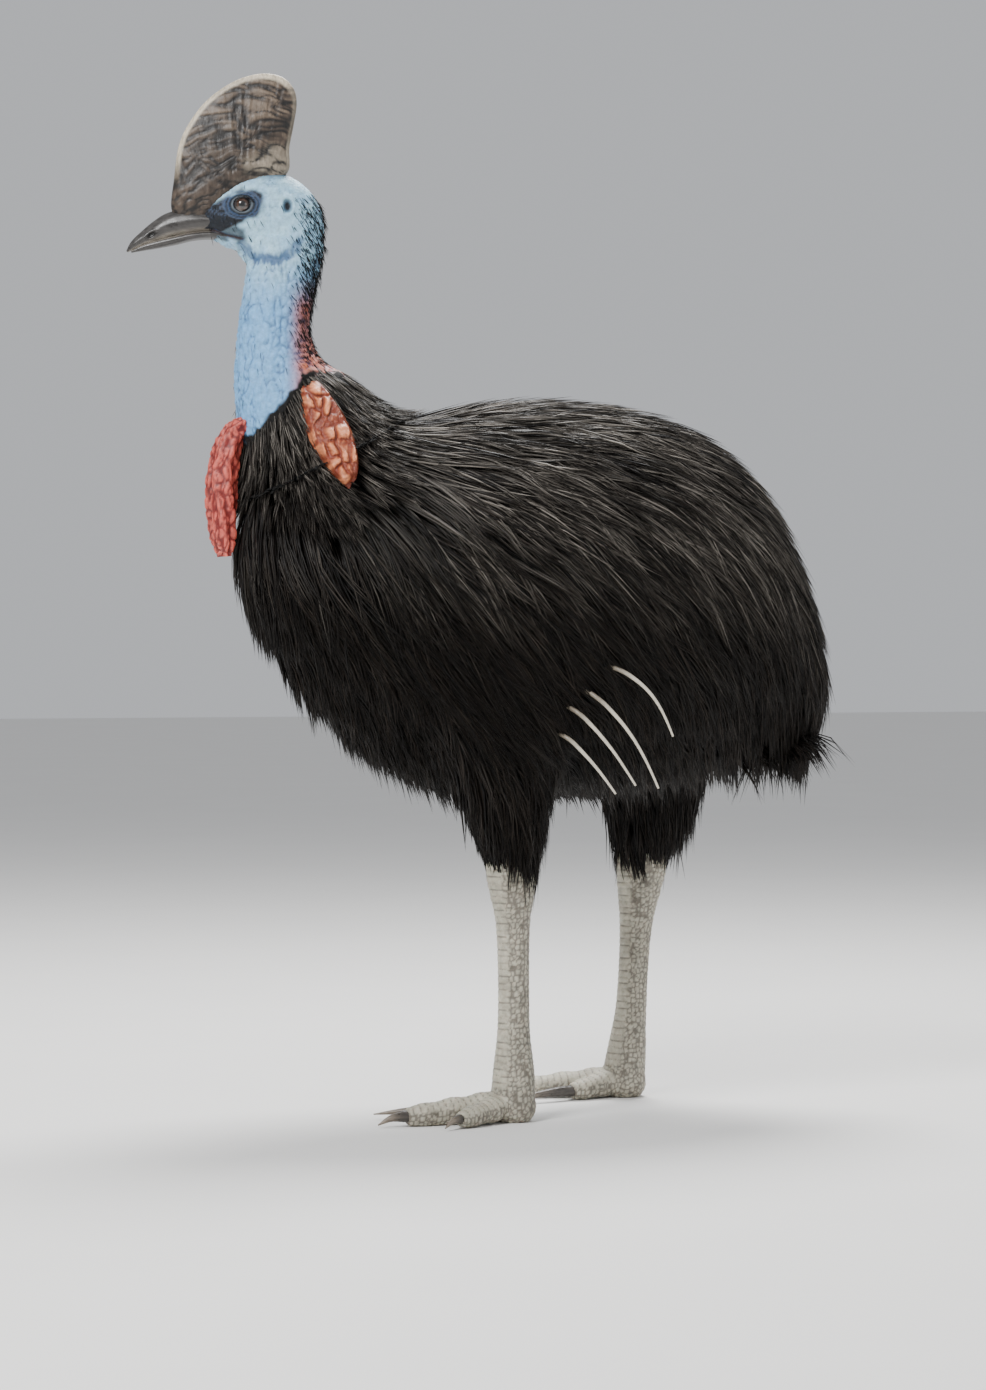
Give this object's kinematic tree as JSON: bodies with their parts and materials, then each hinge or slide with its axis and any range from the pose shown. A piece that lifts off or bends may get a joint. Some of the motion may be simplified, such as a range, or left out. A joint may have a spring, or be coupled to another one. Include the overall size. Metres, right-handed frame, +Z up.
{
  "type": "southern cassowary",
  "caption": "Life-size standing southern cassowary with tall casque, bare neck, wattles, shaggy drooping coat and heavy clawed feet.",
  "frame": {"origin": "on the ground, under the middle of the bird's bounding box", "axes": "+Z up, the bird faces -X, its left side towards -Y"},
  "size_m": [1.0354, 0.4638, 1.4977],
  "materials": {
    "coat": "long drooping hair-like feathers, black with a brown cast",
    "head_skin": "bare wrinkled skin, pale blue",
    "neck_skin": "bare folded skin, blue",
    "wattle": "folded fleshy skin, red",
    "patch": "knobbly bare skin, orange red",
    "casque": "horn, brown with a pale rim",
    "bill": "horn, blackish",
    "eye": "wet, brown iris and black pupil",
    "leg": "scaly, grey straw",
    "claw": "horn, dark",
    "quill": "polished horn, pale"
  },
  "bodies": {
    "root": {"head": "head_skin", "casque": "casque", "bill_upper": "bill", "bill_lower": "bill", "eye_left": "eye", "eye_right": "eye", "neck": "neck_skin", "neck_base": "coat", "neck_patch_left": "patch", "neck_patch_right": "patch", "wattle_left": "wattle", "wattle_right": "wattle", "torso": "coat", "rump": "coat", "wing_left": "quill", "wing_right": "quill", "thigh_left": "coat", "thigh_right": "coat", "shank_left": "leg", "shank_right": "leg", "foot_left": "leg", "foot_right": "leg", "claw_inner_left": "claw", "claw_middle_left": "claw", "claw_outer_left": "claw", "claw_inner_right": "claw", "claw_middle_right": "claw", "claw_outer_right": "claw"}
  },
  "joints": []
}
